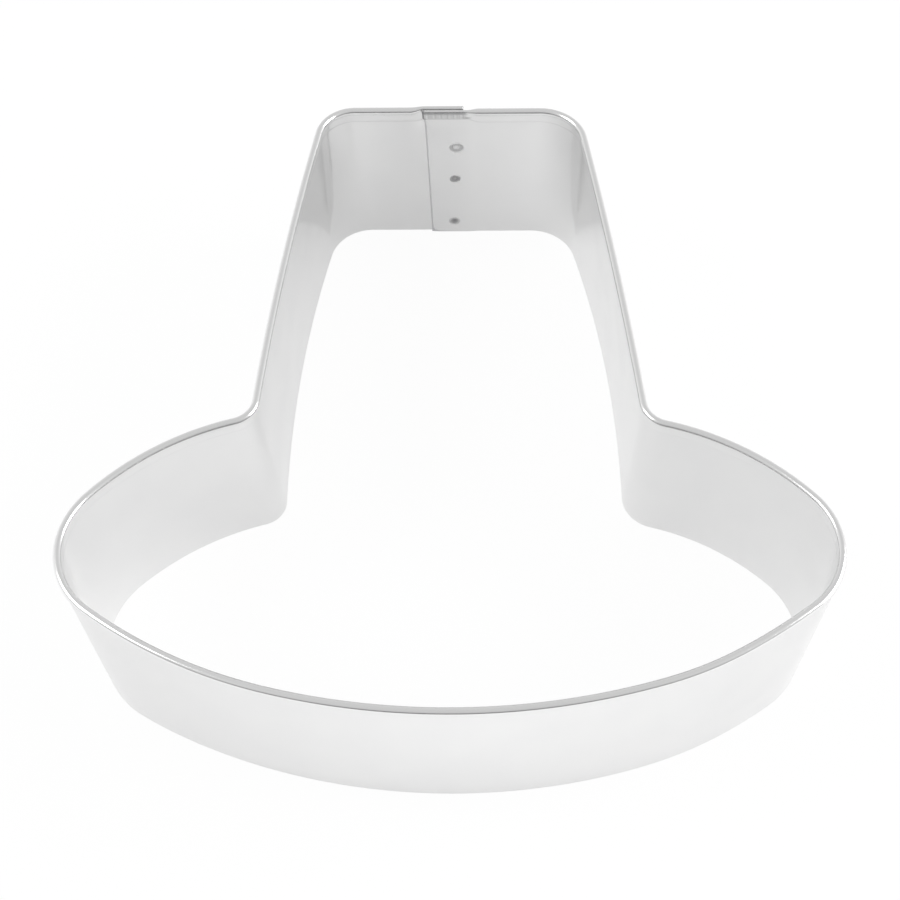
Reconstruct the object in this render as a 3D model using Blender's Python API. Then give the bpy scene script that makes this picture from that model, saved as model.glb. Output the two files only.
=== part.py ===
"""Cookie cutter in the outline of a tall brimmed hat.

One strip of bright tinplate is hemmed along its upper edge, bent round a former
into the outline of a hat with a tall crown and a wide brim, and lapped at the
middle of the crown's top, where three spot welds hold its two ends together.
The lower edge is left plain and thin, because it is the edge that cuts.

The strip is one closed solid with its real fold: the sheet runs up the wall,
round the open bead of the hem and back down the inside as a narrow flap.
Each spot weld is a small slug of its own, seated in the hole that it fills
through both layers of the lap.

Units are metres, +Z is up. The plan runs along +X from the left tip of the brim
to the right one and along +Y from the brim's front to the crown's top. The
origin is at the middle of the bounding box, on the level of the cutting edge.
"""

from dataclasses import dataclass
from math import acos, atan2, cos, hypot, pi, radians, sin, sqrt

import bmesh
import bpy
import numpy as np
from mathutils import Matrix, Vector

MM = 0.001

# Strip
SHEET = 0.28 * MM              # thickness of the tinplate
HEIGHT = 25.4 * MM             # from the cutting edge to the top of the hem

# Hem along the upper edge
BEAD_RADIUS = 0.50 * MM        # outside radius of the open bead
HEM_GAP = 0.04 * MM            # between the wall and the flap folded down inside it
HEM_BEND = 0.60 * MM           # radius at which the wall swings out into the bead
FLAP_DEPTH = 2.40 * MM         # from the top of the hem to the flap's cut edge

# Lap at the middle of the crown's top
LAP_STEP = 0.25 * MM           # the right-hand run of the crown's top lies this far inside the left-hand one
LAP_GAP = 0.07 * MM            # between the two layers
LAP_TUCK_DEPTH = 5.20 * MM     # the inner layer steps in over this depth to pass under the outer layer's flap
OUTER_END_X = 1.63 * MM        # where the outer layer, the left-hand end of the strip, stops
INNER_END_X = -3.70 * MM       # where the inner layer, the right-hand end, stops at the rim
INNER_END_X_LOW = -3.30 * MM   # and at the cutting edge
JOGGLE_START_X = 3.55 * MM     # the right-hand run begins to step in here
JOGGLE_END_X = 1.90 * MM       # and has stepped in fully here
CRUSHED_BEAD = 0.32 * MM       # outside radius of the bead where the inner layer's hem is pressed flat
CRUSHED_FLAP = 1.70 * MM       # depth of that flattened hem
BEAD_PUSH = 0.12 * MM          # the outer layer's bead is pushed outwards by the inner layer
BEAD_PUSH_RUN = 3.00 * MM      # length over which that push fades out

CROWN_DROP = 48.0 * MM         # the crown's lower width is measured this far below its top


@dataclass(frozen=True)
class Half:
    """The bends of one half of the hat, from the crown's corner round to the brim's front."""

    crown_top: float           # half of the crown's width at its top, at the sharp corner
    crown_low: float           # half of its width at CROWN_DROP
    side_bow: float            # how far the crown's side bulges from a straight line
    corner_radius: float       # bend at the crown's corner
    neck_radius: float         # hollow bend where the crown meets the brim
    back_radius: float         # arc of the brim's back
    tip_radius: float          # round tip of the brim
    tip_turn: float            # direction in which the back hands over to the tip
    flank_radius: float        # shallow arc from the tip towards the front
    shoulder_radius: float     # closer bend between the flank and the front
    shoulder_turn: float       # how far the sheet turns along the shoulder
    front_turn: float          # how far it turns from the middle of the front to the shoulder


@dataclass(frozen=True)
class Outline:
    """Middle line of the sheet in plan, as one chain of tangent arcs on each side."""

    half_width: float          # middle to the brim's tip
    front_y: float             # the brim's front, at its middle
    crown_y: float             # the crown's top
    front_radius: float        # long arc of the brim's front
    left: Half
    right: Half


RIM = Outline(
    half_width=44.30 * MM,
    front_y=-43.83 * MM,
    crown_y=43.83 * MM,
    front_radius=81.3 * MM,
    left=Half(
        crown_top=17.38 * MM,
        crown_low=23.33 * MM,
        side_bow=0.64 * MM,
        corner_radius=4.9 * MM,
        neck_radius=3.2 * MM,
        back_radius=33.3 * MM,
        tip_radius=10.1 * MM,
        tip_turn=radians(40.5),
        flank_radius=60.2 * MM,
        shoulder_radius=57.3 * MM,
        shoulder_turn=radians(10.1),
        front_turn=radians(14.0),
    ),
    right=Half(
        crown_top=16.76 * MM,
        crown_low=23.12 * MM,
        side_bow=0.40 * MM,
        corner_radius=6.0 * MM,
        neck_radius=3.2 * MM,
        back_radius=33.2 * MM,
        tip_radius=9.7 * MM,
        tip_turn=radians(41.7),
        flank_radius=71.4 * MM,
        shoulder_radius=43.1 * MM,
        shoulder_turn=radians(12.3),
        front_turn=radians(16.9),
    ),
)

# The cutting edge has sprung back a little differently from the rim, which the hem holds.
EDGE = Outline(
    half_width=43.44 * MM,
    front_y=-43.26 * MM,
    crown_y=44.14 * MM,
    front_radius=78.6 * MM,
    left=Half(
        crown_top=17.16 * MM,
        crown_low=22.19 * MM,
        side_bow=1.57 * MM,
        corner_radius=6.2 * MM,
        neck_radius=3.3 * MM,
        back_radius=35.6 * MM,
        tip_radius=11.5 * MM,
        tip_turn=radians(45.1),
        flank_radius=60.0 * MM,
        shoulder_radius=76.0 * MM,
        shoulder_turn=radians(9.9),
        front_turn=radians(14.2),
    ),
    right=Half(
        crown_top=16.05 * MM,
        crown_low=22.49 * MM,
        side_bow=1.75 * MM,
        corner_radius=6.6 * MM,
        neck_radius=4.5 * MM,
        back_radius=31.8 * MM,
        tip_radius=11.1 * MM,
        tip_turn=radians(45.0),
        flank_radius=63.5 * MM,
        shoulder_radius=51.5 * MM,
        shoulder_turn=radians(12.3),
        front_turn=radians(17.0),
    ),
)


@dataclass(frozen=True)
class Weld:
    """One spot weld through the lap."""

    name: str
    x: float                   # across the crown's top
    height: float              # above the cutting edge
    radius: float


WELDS = (
    Weld("spot_weld_upper", 0.40 * MM, 18.0 * MM, 1.00 * MM),
    Weld("spot_weld_middle", 0.10 * MM, 11.6 * MM, 0.80 * MM),
    Weld("spot_weld_lower", -0.10 * MM, 2.4 * MM, 0.80 * MM),
)
WELD_CLEARANCE = 0.03 * MM     # round each slug
WELD_DISH = 0.07 * MM          # depth of the electrode's print in each face
WELD_SIDES = 24

# Facets along the outline
CORNER_STEPS = 7
SIDE_STEPS = 6
NECK_STEPS = 6
BACK_STEPS = 6
TIP_STEPS = 9
FLANK_STEPS = 4
SHOULDER_STEPS = 3
FRONT_STEPS = 4                # half of the front's long arc
TOP_STEPS = 4                  # plain stretch of the crown's top, each side
JOGGLE_STEPS = 6
LAP_STEPS = 5
# Facets of the cross-section
BEND_STEPS = 2
BEAD_STEPS = 9
TUCK_ROWS = 4


def clear_scene():
    """Remove whatever the file starts with."""
    for obj in list(bpy.data.objects):
        bpy.data.objects.remove(obj, do_unlink=True)


def principled(name, colour, roughness, metallic):
    """A plain material with the part's colour, roughness and metallic value."""
    material = bpy.data.materials.new(name)
    material.use_nodes = True
    shader = material.node_tree.nodes["Principled BSDF"]
    shader.inputs["Base Color"].default_value = (*colour, 1.0)
    shader.inputs["Roughness"].default_value = roughness
    shader.inputs["Metallic"].default_value = metallic
    return material


def blend(a, b, share):
    """From a at share 0 to b at share 1."""
    return a + (b - a) * share


def ease(share):
    """Smooth rise from 0 to 1, held flat outside that span."""
    share = min(max(share, 0.0), 1.0)
    return share * share * (3.0 - 2.0 * share)


def arc(centre, radius, start, end, steps):
    """Points and outward directions along an arc, its first point left out."""
    angles = np.linspace(start, end, steps + 1)[1:]
    outward = np.column_stack([np.cos(angles), np.sin(angles)])
    return centre + radius * outward, outward


def unit(angle):
    """The direction at an angle in plan, of length 1."""
    return np.array([cos(angle), sin(angle)])


def direction(origin, target):
    """Angle of the line from one point to another."""
    return atan2(target[1] - origin[1], target[0] - origin[0])


def half_outline(form, side):
    """One half of the outline, from the crown's corner round to the middle of the front.

    It is worked out on the right-hand side and mirrored for the left. Each circle
    touches the next: the corner touches the crown's side from inside, the neck
    touches the side and the brim's back from outside, the tip touches the back
    and the flank from inside, and the shoulder touches the flank and the front
    from inside.

    side is +1 for the right-hand half and -1 for the left-hand one. Returns points
    and outward directions, starting with the point where the corner begins.
    """
    half = form.right if side > 0 else form.left
    top_y = form.crown_y - (LAP_STEP if side > 0 else 0.0)

    # From the middle of the front outwards, each arc starts where the one before has turned enough.
    front_centre = np.array([0.0, form.front_y + form.front_radius])
    shoulder_start = half.front_turn - pi / 2
    shoulder_centre = front_centre + (form.front_radius - half.shoulder_radius) * unit(shoulder_start)
    flank_start = shoulder_start + half.shoulder_turn
    flank_centre = shoulder_centre + (half.shoulder_radius - half.flank_radius) * unit(flank_start)
    tip_x = form.half_width - half.tip_radius
    tip_drop = sqrt((half.flank_radius - half.tip_radius) ** 2 - (tip_x - flank_centre[0]) ** 2)
    tip_centre = np.array([tip_x, flank_centre[1] - tip_drop])
    back_centre = tip_centre - (half.back_radius - half.tip_radius) * unit(half.tip_turn)

    # The crown's side is a shallow arc through its upper and lower widths.
    upper = np.array([half.crown_top, form.crown_y])
    lower = np.array([half.crown_low, form.crown_y - CROWN_DROP])
    run = lower - upper
    length = hypot(*run)
    outward = np.array([-run[1], run[0]]) / length
    side_radius = (length**2 / 4 + half.side_bow**2) / (2 * half.side_bow)
    side_centre = (upper + lower) / 2 + outward * (half.side_bow - side_radius)

    corner = half.corner_radius
    corner_y = top_y - corner
    reach = sqrt((side_radius - corner) ** 2 - (corner_y - side_centre[1]) ** 2)
    corner_centre = np.array([side_centre[0] + reach, corner_y])

    neck = half.neck_radius
    neck_centre = crossing(side_centre, side_radius + neck, back_centre, half.back_radius + neck)

    corner_end = direction(side_centre, corner_centre)
    side_end = direction(side_centre, neck_centre)
    neck_end = direction(neck_centre, back_centre)
    back_start = direction(back_centre, neck_centre)
    tip_end = direction(flank_centre, tip_centre)

    stretches = [
        (np.array([[corner_centre[0], top_y]]), np.array([[0.0, 1.0]])),
        arc(corner_centre, corner, pi / 2, corner_end, CORNER_STEPS),
        arc(side_centre, side_radius, corner_end, side_end, SIDE_STEPS),
        hollow(arc(neck_centre, neck, side_end - pi, neck_end, NECK_STEPS)),
        arc(back_centre, half.back_radius, back_start, half.tip_turn, BACK_STEPS),
        arc(tip_centre, half.tip_radius, half.tip_turn, tip_end, TIP_STEPS),
        arc(flank_centre, half.flank_radius, tip_end, flank_start, FLANK_STEPS),
        arc(shoulder_centre, half.shoulder_radius, flank_start, shoulder_start, SHOULDER_STEPS),
        arc(front_centre, form.front_radius, shoulder_start, -pi / 2, FRONT_STEPS),
    ]
    mirror = np.array([side, 1.0])
    points = np.vstack([stretch[0] for stretch in stretches]) * mirror
    normals = np.vstack([stretch[1] for stretch in stretches]) * mirror
    return points, normals


def crossing(centre_a, radius_a, centre_b, radius_b):
    """Upper right point where two circles cross."""
    gap = centre_b - centre_a
    distance = hypot(*gap)
    along = (radius_a**2 - radius_b**2 + distance**2) / (2 * distance)
    across = sqrt(radius_a**2 - along**2)
    toward = gap / distance
    left = np.array([-toward[1], toward[0]])
    pair = [centre_a + toward * along + left * across, centre_a + toward * along - left * across]
    return max(pair, key=lambda point: point[1])


def hollow(stretch):
    """An arc whose centre lies outside the hat, so that its outward directions point to it."""
    points, normals = stretch
    return points, -normals


@dataclass
class Station:
    """One place along the strip, with the state of its hem."""

    rim: np.ndarray            # middle of the wall at the bead's level
    edge: np.ndarray           # middle of the wall at the cutting edge
    normal: np.ndarray         # outwards, in plan
    joggle: float = 0.0        # 1 where the inner layer has stepped in, 0 elsewhere
    push: float = 0.0          # 1 where the outer layer's bead is pushed outwards


def top_station(form_x, edge_x, inner):
    """A station on the crown's top, on the inner (right-hand) or outer (left-hand) run."""
    joggle = ease((JOGGLE_START_X - form_x) / (JOGGLE_START_X - JOGGLE_END_X)) if inner else 0.0
    step = blend(LAP_STEP, SHEET + LAP_GAP, joggle) if inner else 0.0
    push = 0.0 if inner else ease(1.0 + (form_x - INNER_END_X) / BEAD_PUSH_RUN)
    rim = np.array([form_x, RIM.crown_y - step])
    edge = np.array([edge_x, EDGE.crown_y - step])
    return Station(rim, edge, np.array([0.0, 1.0]), joggle, push)


def stations():
    """The whole strip, from the end of the outer layer round the hat to the end of the inner one."""
    found = []
    halves = {}
    for side in (-1, 1):
        rim_points, rim_normals = half_outline(RIM, side)
        edge_points, edge_normals = half_outline(EDGE, side)
        normals = rim_normals + edge_normals
        normals /= np.linalg.norm(normals, axis=1)[:, None]
        halves[side] = [Station(*parts) for parts in zip(rim_points, edge_points, normals)]

    left, right = halves[-1], halves[1]
    for x in np.linspace(OUTER_END_X, INNER_END_X, LAP_STEPS + 1):
        found.append(top_station(x, x, inner=False))
    for share in np.linspace(0, 1, TOP_STEPS + 1)[1:-1]:
        rim_x = blend(INNER_END_X, left[0].rim[0], share)
        found.append(top_station(rim_x, blend(INNER_END_X, left[0].edge[0], share), inner=False))
    found += left
    found += right[-2::-1]
    for share in np.linspace(0, 1, TOP_STEPS + 1)[1:-1]:
        rim_x = blend(right[0].rim[0], JOGGLE_START_X, share)
        found.append(top_station(rim_x, blend(right[0].edge[0], JOGGLE_START_X, share), inner=True))
    for x in np.linspace(JOGGLE_START_X, JOGGLE_END_X, JOGGLE_STEPS + 1):
        found.append(top_station(x, x, inner=True))
    for share in np.linspace(0, 1, LAP_STEPS + 1)[1:]:
        rim_x = blend(JOGGLE_END_X, INNER_END_X, share)
        found.append(top_station(rim_x, blend(JOGGLE_END_X, INNER_END_X_LOW, share), inner=True))
    return found


@dataclass(frozen=True)
class Hem:
    """Fold of the upper edge, measured outwards from the middle of the wall and up from the cutting edge."""

    bead: float                # outside radius of the bead
    flap_depth: float
    push: float                # how far the bead is pushed outwards

    @property
    def pitch(self):
        """From the middle of the wall to the middle of the flap."""
        return SHEET + HEM_GAP

    @property
    def centre(self):
        """Centre of the bead."""
        return np.array([self.push - self.pitch / 2, HEIGHT - self.bead])

    @property
    def inner_reach(self):
        """How far the hem stands inwards from the middle of the wall."""
        return max(self.bead - self.centre[0], self.pitch + SHEET / 2)

    def bend_angle(self, offset):
        """How far the bend below the bead turns, for a wall this far from the bead's centre."""
        radius = self.bead - SHEET / 2
        return acos(min((HEM_BEND + offset) / (HEM_BEND + radius), 1.0))

    def side(self, face):
        """One face of the sheet through the hem, from the wall up, over and down to the flap.

        face is +1 for the outer face and -1 for the face inside the fold.
        """
        radius = self.bead - SHEET / 2
        centre_x, centre_z = self.centre
        out_angle = self.bend_angle(-centre_x)
        in_angle = self.bend_angle(centre_x + self.pitch)
        out_centre = (HEM_BEND, centre_z - (HEM_BEND + radius) * sin(out_angle))
        in_centre = (-self.pitch - HEM_BEND, centre_z - (HEM_BEND + radius) * sin(in_angle))
        bend = HEM_BEND - face * SHEET / 2
        bead = radius + face * SHEET / 2
        shares = np.linspace(0, 1, BEND_STEPS + 1)
        points = [(out_centre[0] - bend * cos(a), out_centre[1] + bend * sin(a)) for a in out_angle * shares]
        for a in np.linspace(-out_angle, pi + in_angle, BEAD_STEPS + 1)[1:-1]:
            points.append((centre_x + bead * cos(a), centre_z + bead * sin(a)))
        points += [(in_centre[0] + bend * cos(a), in_centre[1] + bend * sin(a)) for a in in_angle * shares[::-1]]
        points.append((face * -SHEET / 2 - self.pitch, HEIGHT - self.flap_depth))
        return points


def hem_at(station):
    """The hem of one station: open along the hat, pressed flat on the inner layer of the lap."""
    return Hem(
        bead=blend(BEAD_RADIUS, CRUSHED_BEAD, station.joggle),
        flap_depth=blend(FLAP_DEPTH, CRUSHED_FLAP, station.joggle),
        push=BEAD_PUSH * station.push,
    )


def lap_tuck():
    """Extra step of the inner layer at the rim, past the outer layer's flap and bead."""
    reach = Hem(BEAD_RADIUS, FLAP_DEPTH, BEAD_PUSH).inner_reach
    return reach + LAP_GAP / 2 + SHEET / 2 - (SHEET + LAP_GAP)


def tuck_at(station, height):
    """How far the inner layer leans in at this height to clear the outer layer's hem."""
    start = HEIGHT - LAP_TUCK_DEPTH
    rise = LAP_TUCK_DEPTH - FLAP_DEPTH - SHEET
    return lap_tuck() * station.joggle * ease((height - start) / rise)


def wall_rows():
    """Heights at which the wall has a row of points, above the cutting edge."""
    start = HEIGHT - LAP_TUCK_DEPTH
    end = HEIGHT - FLAP_DEPTH - SHEET
    return np.linspace(start, end, TUCK_ROWS)


def section(station):
    """Closed cross-section of the strip at one station, as points in space.

    The sheet's outer face comes first, then its inner face in the same number of
    points, back from the flap's cut edge to the cutting edge.
    """
    hem = hem_at(station)
    ring = []
    for face in (1, -1):
        wall = [(face * SHEET / 2, height) for height in (0.0, *wall_rows())]
        ring += (wall + hem.side(face))[::face]
    placed = []
    for offset, height in ring:
        middle = blend(station.edge, station.rim, height / (HEIGHT - BEAD_RADIUS))
        plan = middle + station.normal * (offset - tuck_at(station, height))
        placed.append((plan[0], plan[1], height))
    return placed


def loft(name, rings, material, smooth_angle):
    """A closed solid of folded sheet through equal rings of points.

    The first half of each ring is one face of the sheet and the second half is the
    other one in reverse, so each end is closed by a ladder of faces between them.
    """
    mesh = bmesh.new()
    loops = [[mesh.verts.new(point) for point in ring] for ring in rings]
    count = len(rings[0])
    for near, far in zip(loops, loops[1:]):
        for i in range(count):
            j = (i + 1) % count
            mesh.faces.new((near[i], near[j], far[j], far[i]))
    for loop in (loops[0], loops[-1]):
        for i in range(count // 2 - 1):
            mesh.faces.new((loop[i], loop[i + 1], loop[-i - 2], loop[-i - 1]))
    bmesh.ops.recalc_face_normals(mesh, faces=mesh.faces)
    return finish(name, mesh, material, smooth_angle)


def finish(name, mesh, material, smooth_angle):
    """Turn a bmesh into a shaded object with its material."""
    data = bpy.data.meshes.new(name)
    mesh.to_mesh(data)
    mesh.free()
    data.materials.append(material)
    data.shade_smooth()
    data.set_sharp_from_angle(angle=smooth_angle)
    obj = bpy.data.objects.new(name, data)
    bpy.context.scene.collection.objects.link(obj)
    return obj


def turned(name, profile, sides, material):
    """A round solid about its own Z, from (radius, height) points that run from pole to pole."""
    mesh = bmesh.new()
    poles = [mesh.verts.new((0.0, 0.0, profile[end][1])) for end in (0, -1)]
    angles = np.linspace(0, 2 * pi, sides, endpoint=False)
    loops = [[mesh.verts.new((r * cos(a), r * sin(a), z)) for a in angles] for r, z in profile[1:-1]]
    for i in range(sides):
        j = (i + 1) % sides
        mesh.faces.new((poles[0], loops[0][j], loops[0][i]))
        mesh.faces.new((poles[1], loops[-1][i], loops[-1][j]))
        for near, far in zip(loops, loops[1:]):
            mesh.faces.new((near[i], near[j], far[j], far[i]))
    bmesh.ops.recalc_face_normals(mesh, faces=mesh.faces)
    return finish(name, mesh, material, radians(30))


def weld_profile(weld, half_stack):
    """Half section of a spot weld: dished on both faces, with a low ring pressed up round each dish."""
    lip = WELD_DISH / 3
    face = [
        (0.0, half_stack - WELD_DISH),
        (weld.radius * 0.45, half_stack - WELD_DISH * 0.85),
        (weld.radius * 0.72, half_stack - lip),
        (weld.radius * 0.86, half_stack),
        (weld.radius, half_stack - lip),
    ]
    return [(r, -z) for r, z in face] + face[::-1]


def make_strip(centre, material):
    """The hemmed strip, bent to the hat's outline and lapped."""
    rings = [[(x - centre[0], y - centre[1], z) for x, y, z in ring] for ring in map(section, stations())]
    return loft("tinplate_strip", rings, material, radians(40))


def plan_centre():
    """Middle of the strip's bounding box in plan."""
    points = np.array([section(station) for station in stations()])[..., :2].reshape(-1, 2)
    return (points.min(axis=0) + points.max(axis=0)) / 2


def make_weld(weld, centre, strip, material):
    """One spot weld, and the hole through both layers that it fills."""
    share = weld.height / (HEIGHT - BEAD_RADIUS)
    outer_y = blend(EDGE.crown_y, RIM.crown_y, share)
    tilt = atan2(EDGE.crown_y - RIM.crown_y, HEIGHT - BEAD_RADIUS)
    layers = 2 * SHEET + LAP_GAP
    middle = Vector((weld.x - centre[0], outer_y + SHEET / 2 - layers / 2 - centre[1], weld.height))
    place = Matrix.Translation(middle) @ Matrix.Rotation(pi / 2 + tilt, 4, "X")

    slug = turned(weld.name, weld_profile(weld, layers / 2), WELD_SIDES, material)
    slug.matrix_world = place

    bore = weld.radius + WELD_CLEARANCE
    through = layers + 2 * BEAD_RADIUS
    cutter_profile = [(0.0, -through), (bore, -through), (bore, through), (0.0, through)]
    cutter = turned(weld.name + "_hole", cutter_profile, WELD_SIDES, material)
    cutter.matrix_world = place
    cutter.hide_render = True
    cutter.display_type = "WIRE"

    hole = strip.modifiers.new(weld.name + "_hole", "BOOLEAN")
    hole.operation = "DIFFERENCE"
    hole.solver = "EXACT"
    hole.object = cutter
    return slug


def main():
    clear_scene()
    tinplate = principled("bright_tinplate", (0.80, 0.80, 0.80), 0.30, 1.0)
    pressed = principled("pressed_tinplate", (0.68, 0.68, 0.68), 0.38, 1.0)
    centre = plan_centre()
    strip = make_strip(centre, tinplate)
    for weld in WELDS:
        make_weld(weld, centre, strip, pressed)


main()
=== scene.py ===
"""Dressed model of a tinplate cookie cutter in the outline of a tall brimmed hat.

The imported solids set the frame. A finer strip, with its real fold, its lap and the small
marks of the press, takes the place of the faceted one, and each spot weld gets the print
that its electrode left. The studio is plain: a pale floor, soft light and a camera at the
photograph's angle.

Lengths are written as millimetres times MM, so every value is in metres. A class whose
lengths are plain millimetres says so.
"""

import logging
from dataclasses import dataclass, field
from enum import Enum
from math import atan2, pi, radians

import bpy
import numpy as np
from mathutils import Matrix, Vector


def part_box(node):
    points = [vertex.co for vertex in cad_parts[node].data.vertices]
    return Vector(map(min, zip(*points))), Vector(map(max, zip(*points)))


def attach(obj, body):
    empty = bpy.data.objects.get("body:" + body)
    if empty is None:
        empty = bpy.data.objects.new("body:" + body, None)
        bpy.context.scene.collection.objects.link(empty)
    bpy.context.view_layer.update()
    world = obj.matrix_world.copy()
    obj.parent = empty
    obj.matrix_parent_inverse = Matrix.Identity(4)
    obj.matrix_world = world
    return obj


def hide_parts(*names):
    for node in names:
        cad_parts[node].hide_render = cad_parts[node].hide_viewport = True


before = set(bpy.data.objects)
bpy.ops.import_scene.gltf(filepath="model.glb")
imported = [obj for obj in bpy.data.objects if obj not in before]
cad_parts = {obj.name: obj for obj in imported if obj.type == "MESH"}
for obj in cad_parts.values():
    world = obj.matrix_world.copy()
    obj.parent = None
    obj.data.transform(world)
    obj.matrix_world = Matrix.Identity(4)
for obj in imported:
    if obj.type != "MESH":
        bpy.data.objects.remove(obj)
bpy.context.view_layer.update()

log = logging.getLogger("cookie_cutter")

MM = 0.001
Array = np.ndarray
Colour = tuple[float, float, float]
Tree = bpy.types.NodeTree
Node = bpy.types.Node
Socket = bpy.types.NodeSocket
Value = Socket | float


def ease(share: Array) -> Array:
    """Smooth rise from 0 to 1, flat outside that span: three squares less two cubes."""
    share = np.clip(share, 0.0, 1.0)
    return share * share * (3.0 - 2.0 * share)


def hump(place: Array, centre: float, width: float) -> Array:
    """A rounded hump of height 1: e to the minus square of the distance over the width."""
    return np.exp(-(((place - centre) / width) ** 2))


def grid_faces(rows: int, columns: int, round_rows: bool, round_columns: bool) -> Array:
    """Corners of every quad between neighbouring points of a grid.

    Args:
        rows: points along the first parameter.
        columns: points along the second one.
        round_rows: whether the last row is joined to the first.
        round_columns: whether the last column is joined to the first.

    Returns:
        Array of quads by four corners by (row, column). A closing quad counts one
        past the last row or column, so that a UV map can run on over the seam.
    """
    i, j = np.meshgrid(
        np.arange(rows if round_rows else rows - 1),
        np.arange(columns if round_columns else columns - 1),
        indexing="ij",
    )
    corners = [(i, j), (i, j + 1), (i + 1, j + 1), (i + 1, j)]
    return np.stack([np.stack(corner, axis=-1) for corner in corners], axis=-2).reshape(-1, 4, 2)


def end_caps(rows: int, columns: int) -> list[Array]:
    """The two faces that close a tube at its ends.

    Args:
        rows: points of the grid round the tube.
        columns: points along it.

    Returns:
        The corners of both faces by (row, column).
    """
    ring = np.arange(rows)
    first = np.column_stack([ring, np.zeros(rows, int)])
    last = np.column_stack([ring[::-1], np.full(rows, columns - 1)])
    return [first, last]


def link_object(name: str, data: bpy.types.ID) -> bpy.types.Object:
    """Put a mesh, lamp or camera into the scene.

    Args:
        name: the object's name.
        data: what it holds.

    Returns:
        The new object.
    """
    obj = bpy.data.objects.new(name, data)
    bpy.context.scene.collection.objects.link(obj)
    return obj


def shade(obj: bpy.types.Object, sharp: float) -> None:
    """Smooth shading, with edges that turn by more than the given angle kept crisp."""
    obj.data.shade_smooth()
    obj.data.set_sharp_from_angle(angle=sharp)


def make_solid(
    name: str,
    points: Array,
    corners: Array,
    caps: list[Array],
    maps: dict[str, Array],
    sharp: float,
) -> bpy.types.Object:
    """A closed solid from a grid of points, its faces turned outwards.

    The faces point outwards where the sum of corner dot (next corner cross the one
    after) over all the triangles is positive, and are reversed where it isn't.

    Args:
        name: the piece's name.
        points: rows by columns by xyz.
        corners: quads by four corners by (row, column), from grid_faces.
        caps: further faces, each an array of corners by (row, column).
        maps: UV maps by name, each rows (and one more) by columns (and one more) by uv.
        sharp: edges that turn by more than this angle stay crisp.

    Returns:
        The new object, linked to the scene.
    """
    rows, columns = points.shape[:2]
    flat = points.reshape(-1, 3)

    def numbers(places: Array) -> Array:
        """Numbers of the points at places given by (row, column)."""
        return places[..., 0] % rows * columns + places[..., 1] % columns

    a, b, c, d = (flat[corner] - flat.mean(axis=0) for corner in numbers(corners).T)
    volume = np.sum(a * np.cross(b, c)) + np.sum(a * np.cross(c, d))
    if volume < 0:
        corners, caps = corners[:, ::-1], [cap[::-1] for cap in caps]
    faces = numbers(corners).tolist() + [numbers(cap).tolist() for cap in caps]
    mesh = bpy.data.meshes.new(name)
    mesh.from_pydata(flat, [], faces)
    order = np.concatenate([corners.reshape(-1, 2), *caps])
    for title, values in maps.items():
        layer = mesh.uv_layers.new(name=title)
        last_row, last_column = np.array(values.shape[:2]) - 1
        uv = values[np.minimum(order[:, 0], last_row), np.minimum(order[:, 1], last_column)]
        layer.data.foreach_set("uv", uv.astype(np.float32).ravel())
    obj = link_object(name, mesh)
    shade(obj, sharp)
    return obj


def arc(centre: Array, radius: float, start: float, end: float, steps: int) -> tuple[Array, Array]:
    """Points on an arc, centre plus radius times direction, the first one left out.

    Args:
        centre: middle of the circle.
        radius: its radius.
        start: first angle.
        end: last angle.
        steps: number of points.

    Returns:
        The points, and their directions away from the centre.
    """
    angles = np.linspace(start, end, steps + 1)[1:]
    away = np.column_stack([np.cos(angles), np.sin(angles)])
    return centre + radius * away, away


def unit(angle: float) -> Array:
    """The direction at an angle in plan, of length 1."""
    return np.array([np.cos(angle), np.sin(angle)])


def heading(origin: Array, target: Array) -> float:
    """Angle in plan of the line from origin to target."""
    return float(np.arctan2(target[1] - origin[1], target[0] - origin[0]))


def crossing(centre_a: Array, radius_a: float, centre_b: Array, radius_b: float) -> Array:
    """The upper one of the two points where two circles cross.

    Along the line between the centres it lies at (radius_a squared less radius_b
    squared plus the distance squared) over twice the distance, and across that
    line at what Pythagoras leaves of radius_a.

    Args:
        centre_a: middle of the first circle.
        radius_a: its radius.
        centre_b: middle of the second circle.
        radius_b: its radius.

    Returns:
        The crossing with the larger y.
    """
    gap = centre_b - centre_a
    distance = np.hypot(*gap)
    along = (radius_a**2 - radius_b**2 + distance**2) / (2 * distance)
    across = np.sqrt(radius_a**2 - along**2)
    toward = gap / distance
    left = np.array([-toward[1], toward[0]])
    pair = [centre_a + toward * along + left * across, centre_a + toward * along - left * across]
    return max(pair, key=lambda point: point[1])


@dataclass(frozen=True)
class Steps:
    """How finely the strip is divided along the hat and round its section.

    The flap's points crowd towards its lower edge by the power flap_crowding, and
    one station stands at end_crowding of the way into the rounding of a cut end.
    """

    corner: int = 28
    side: int = 34
    neck: int = 22
    back: int = 30
    tip: int = 36
    flank: int = 22
    shoulder: int = 14
    front: int = 18
    top: int = 16
    joggle: int = 24
    lap: int = 64
    wall: int = 13
    tuck: int = 10
    bend: int = 4
    bead: int = 20
    flap: int = 12
    flap_crowding: float = 1.6
    end_crowding: float = 0.3


@dataclass(frozen=True)
class Half:
    """The bends of one half of the hat, from the crown's corner round to the brim's front.

    The crown's half width is crown_top at its top and crown_low further down, and
    its side bulges by side_bow. The turns are in radians: tip_turn is the
    direction in which the back hands over to the tip, front_turn is how far the
    sheet turns from the middle of the front to the shoulder, and shoulder_turn
    how far it turns along that shoulder.
    """

    crown_top: float
    crown_low: float
    side_bow: float
    corner_radius: float
    neck_radius: float
    back_radius: float
    tip_radius: float
    tip_turn: float
    flank_radius: float
    shoulder_radius: float
    shoulder_turn: float
    front_turn: float


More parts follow.
